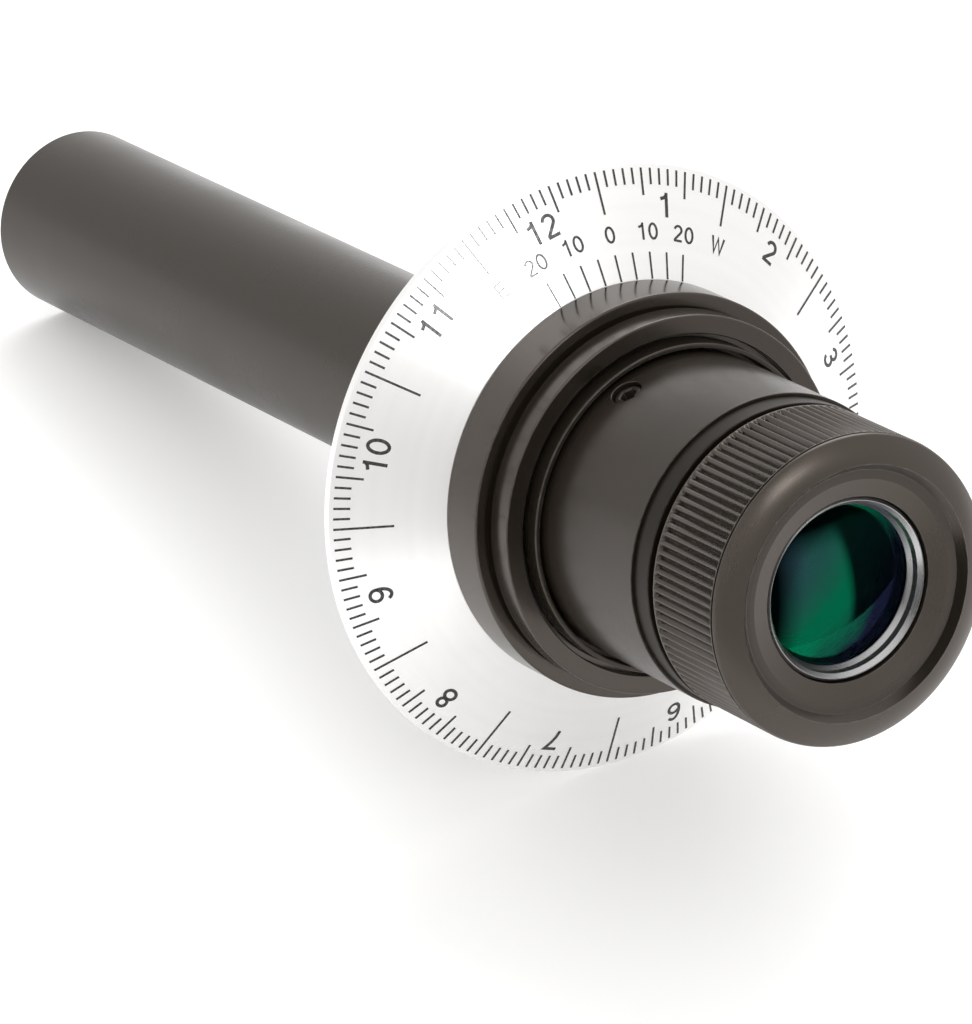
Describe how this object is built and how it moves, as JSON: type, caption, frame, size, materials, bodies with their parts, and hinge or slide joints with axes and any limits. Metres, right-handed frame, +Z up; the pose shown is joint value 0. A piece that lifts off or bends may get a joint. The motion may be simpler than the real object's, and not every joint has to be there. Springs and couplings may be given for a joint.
{
  "type": "polar alignment scope",
  "caption": "Polar alignment finder scope with a long objective tube, mounting thread, turning silver date circle, reticle adjusting screws and a knurled focusing eyepiece.",
  "frame": {"origin": "centre of the mounting shoulder's face, on the optical axis", "axes": "Y is the optical axis: the objective points towards +Y and the eyepiece towards -Y; +Z up, +X to the right as seen from the eyepiece"},
  "size_m": [0.062, 0.1509, 0.062],
  "materials": {
    "black_anodised": "satin black anodised",
    "gloss_black_anodised": "gloss black anodised",
    "turned_silver": "turned and clear anodised, black printed scales",
    "bare_metal": "bare turned",
    "lens_glass": "green anti-reflection coated",
    "black_screw": "black oxide",
    "fibre": "matte",
    "spring_steel": "plain",
    "brass": "turned"
  },
  "bodies": {
    "scope_body": {"main_tube": "black_anodised", "objective_cell": "black_anodised", "objective_flint_lens": "lens_glass", "objective_crown_lens": "lens_glass", "objective_retaining_ring": "black_anodised", "light_baffles": "black_anodised", "mount_body": "black_anodised", "friction_washer": "fibre", "spring_washer": "spring_steel", "dial_collar": "gloss_black_anodised", "collar_nut": "gloss_black_anodised", "eyepiece_barrel": "black_anodised", "reticle_cell": "brass", "reticle_glass": "lens_glass", "reticle_retaining_ring": "brass", "barrel_nose_ring": "gloss_black_anodised", "guide_pin": "brass"},
    "date_circle": {"date_circle": "turned_silver"},
    "eyepiece_sleeve": {"eyepiece_sleeve": "black_anodised", "field_lens": "lens_glass", "lens_spacer": "black_anodised", "eye_lens": "lens_glass", "eye_lens_retainer": "bare_metal"},
    "focus_ring": {"focus_ring": "black_anodised", "sleeve_retaining_ring": "brass"},
    "reticle_screw_1": {"reticle_screw_1": "black_screw"},
    "reticle_screw_2": {"reticle_screw_2": "black_screw"},
    "reticle_screw_3": {"reticle_screw_3": "black_screw"}
  },
  "joints": [
    {"name": "date_circle_turn", "type": "hinge", "parent": "scope_body", "child": "date_circle", "pos_m": [0, -0.0045, 0], "axis": [0, -1, 0], "continuous": true},
    {"name": "focus_travel", "type": "slide", "parent": "scope_body", "child": "eyepiece_sleeve", "axis": [0, -1, 0], "range_m": [-0.0005, 0.003]},
    {"name": "focus_turn", "type": "hinge", "parent": "eyepiece_sleeve", "child": "focus_ring", "pos_m": [0, -0.043, 0], "axis": [0, -1, 0], "range_deg": [-181, 1081]},
    {"name": "reticle_screw_1_turn", "type": "hinge", "parent": "scope_body", "child": "reticle_screw_1", "pos_m": [-0.00509, -0.0215, 0.01261], "axis": [-0.3746, 0, 0.9272], "range_deg": [-180, 180]},
    {"name": "reticle_screw_2_turn", "type": "hinge", "parent": "scope_body", "child": "reticle_screw_2", "pos_m": [0.01347, -0.0215, -0.00189], "axis": [0.9903, 0, -0.1392], "range_deg": [-180, 180]},
    {"name": "reticle_screw_3_turn", "type": "hinge", "parent": "scope_body", "child": "reticle_screw_3", "pos_m": [-0.00837, -0.0215, -0.01072], "axis": [-0.6157, 0, -0.788], "range_deg": [-180, 180]}
  ],
  "couplings": [
    {"joint": "focus_turn", "follows": "focus_travel", "rad_per_m": 6283.2}
  ]
}
